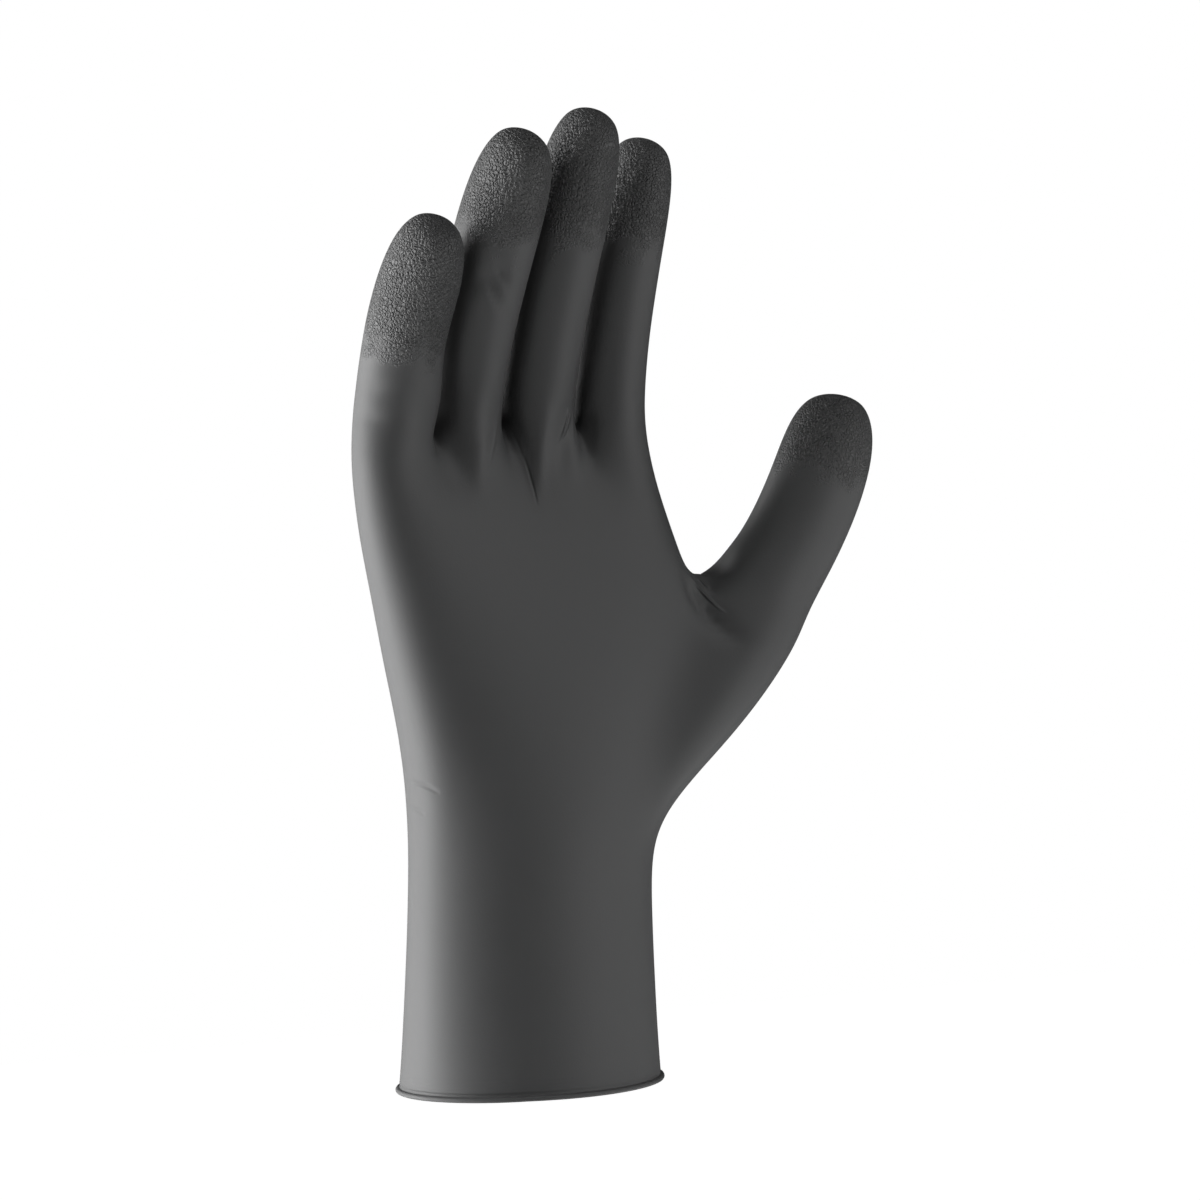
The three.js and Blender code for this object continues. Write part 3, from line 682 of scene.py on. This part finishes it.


# A film's tone and grain, and on the outside its pebbles and fine lines, all heights in mm; over
# the pebbled tips the colour is darkened as painted shade.
def makeFilm(name, settings):
    material = bpy.data.materials.new(name)
    material.use_nodes = True
    material.node_tree.nodes.clear()
    wire = Wiring(material.node_tree)
    tone = wire.node("ShaderNodeGroup", {"node_tree": filmTone}, Colour=settings["colour"],
                     Roughness=settings["roughness"], Variation=settings["variation"]).outputs
    colour, rough = tone["Colour"], tone["Roughness"]
    height = wire.math("MULTIPLY", tone["Height"], settings["grainDepth"])
    if "pebbleDepth" in settings:
        pebbles = wire.node("ShaderNodeGroup", {"node_tree": fingertipPebbles}).outputs
        raised = wire.math("MULTIPLY", pebbles["Height"], settings["pebbleDepth"])
        height = wire.math("ADD", height, raised)
        # Painted shade: the pebble mask darkens the colour over the pebbled fingertips.
        shade = wire.math("ADD", 1.0, wire.math(
            "MULTIPLY", pebbles["Mask"], settings["pebblePaintedShade"] - 1))
        colour = wire.node("ShaderNodeHueSaturation", Color=colour, Value=shade).outputs[0]
        rough = wire.math("ADD", rough, wire.math(
            "MULTIPLY", pebbles["Mask"], settings["pebbleRoughening"]))
        for start, end, width, high, bend in settings["fineLines"]:
            line = wire.node("ShaderNodeGroup", {"node_tree": fineLine}, From=start, To=end,
                             Width=width, Height=high, Bend=bend).outputs["Height"]
            height = wire.math("ADD", height, line)
    normal = wire.node("ShaderNodeBump", Height=height, Distance=millimetre).outputs[0]
    shader = wire.node("ShaderNodeBsdfPrincipled", Base_Color=colour, Roughness=rough,
                       Normal=normal)
    wire.node("ShaderNodeOutputMaterial", Surface=shader.outputs[0])
    return material


glove.data.materials.append(makeFilm("nitrileFilm", nitrile))
glove.data.materials.append(makeFilm("nitrileLining", lining))
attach(glove, "root")
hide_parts("glove_film")
print("materials made")

studio = {
    # metres
    "floorLevel": -1.0, "floorReach": 6.0, "floorColour": (0.9, 0.9, 0.9, 1),
    "floorRoughness": 0.9,
    "cameraAt": (-0.33386, -0.61206, 0.1187), "lens": 85, "sensor": 36,  # lens and sensor in mm
    "ambient": 0.02,
    "lampsMiddle": (0.012, 0, 0.125), "lampDistance": 1.0,
    # name, degrees round from the camera (minus is left), degrees up, width, height, radiance
    "lamps": [
        ("backLeftPanel", -130, 0, 0.42, 1.3, 2.3),
        ("sideLeftPanel", -110, 0, 0.42, 1.3, 2.3),
        ("leftPanel", -90, 0, 0.42, 1.3, 10.0),
        ("leftFrontPanel", -70, 0, 0.42, 1.3, 6.6),
        ("frontPanel", -30, 0, 0.42, 1.3, 0.9),
        ("frontRightPanel", 50, 0, 0.42, 1.3, 0.6),
        ("rightPanel", 70, 0, 0.42, 1.3, 2.8),
        ("backRightPanel", 110, 0, 0.42, 1.3, 1.2),
        ("topPanel", 45, 55, 0.6, 0.6, 1.5),
        ("topRightPanel", 90, 55, 0.6, 0.6, 0.8),
        ("lowLeftPanel", -120, -50, 0.6, 0.6, 3.0),
        ("lowFrontPanel", -60, -50, 0.6, 0.6, 3.0),
        ("lowRightPanel", 120, -50, 0.6, 0.6, 2.6),
    ],
}


def placeIn(scene, name, data):
    made = bpy.data.objects.new(name, data)
    scene.collection.objects.link(made)
    return made


# White behind everything as the camera sees it, and a dim even light for the rest.
def buildBackdrop(scene, settings):
    world = bpy.data.worlds.new("studio")
    scene.world = world
    world.use_nodes = True
    world.node_tree.nodes.clear()
    wire = Wiring(world.node_tree)
    white = wire.node("ShaderNodeBackground", Strength=1.0, Color=(1, 1, 1, 1)).outputs[0]
    dim = wire.node("ShaderNodeBackground", Strength=settings["ambient"], Color=(1, 1, 1, 1))
    rays = wire.node("ShaderNodeLightPath").outputs["Is Camera Ray"]
    blend = wire.node("ShaderNodeMixShader", i0=rays, i1=dim.outputs[0], i2=white)
    wire.node("ShaderNodeOutputWorld", Surface=blend.outputs[0])


# A wide flat sheet of pale paper, lit to the backdrop's white for the camera alone.
def buildFloor(scene, settings):
    half, level = settings["floorReach"], settings["floorLevel"]
    turns = ((-1, -1), (1, -1), (1, 1), (-1, 1))
    corners = [(x * half, y * half, level) for x, y in turns]
    floor = placeIn(scene, "floor", meshFrom("floor", corners, [(0, 1, 2, 3)]))
    paper = bpy.data.materials.new("palePaper")
    paper.use_nodes = True
    surface = paper.node_tree.nodes["Principled BSDF"]
    surface.inputs["Base Color"].default_value = settings["floorColour"]
    surface.inputs["Roughness"].default_value = settings["floorRoughness"]
    surface.inputs["Emission Strength"].default_value = 1.0
    rays = Wiring(paper.node_tree).node("ShaderNodeLightPath").outputs["Is Camera Ray"]
    paper.node_tree.links.new(rays, surface.inputs["Emission Color"])
    floor.data.materials.append(paper)


# A panel's power is pi * area * radiance, and it faces the glove's middle from lampDistance away.
def buildLamps(scene, settings):
    right, ahead = viewAxes(cameraTurn)
    middle = np.array(settings["lampsMiddle"])
    for name, around, rise, wide, tall, radiance in settings["lamps"]:
        lamp = bpy.data.lights.new(name, "AREA")
        lamp.shape, lamp.size, lamp.size_y = "RECTANGLE", wide, tall
        lamp.energy = np.pi * wide * tall * radiance
        side, lift = np.radians(around), np.radians(rise)
        level = right * np.sin(side) - ahead * np.cos(side)
        away = level * np.cos(lift) + np.array([0, 0, np.sin(lift)])
        stand = placeIn(scene, name, lamp)
        stand.location = middle + settings["lampDistance"] * away
        stand.rotation_euler = Vector(-away).to_track_quat("-Z", "Y").to_euler()


def buildCamera(scene, settings):
    camera = bpy.data.cameras.new("camera")
    camera.lens, camera.sensor_width = settings["lens"], settings["sensor"]
    viewer = placeIn(scene, "camera", camera)
    viewer.location = settings["cameraAt"]
    viewer.rotation_euler = (np.pi / 2, 0, np.radians(cameraTurn))
    scene.camera = viewer
    scene.view_settings.view_transform = "Standard"


for build in (buildBackdrop, buildFloor, buildLamps, buildCamera):
    build(bpy.context.scene, studio)
print("studio ready")
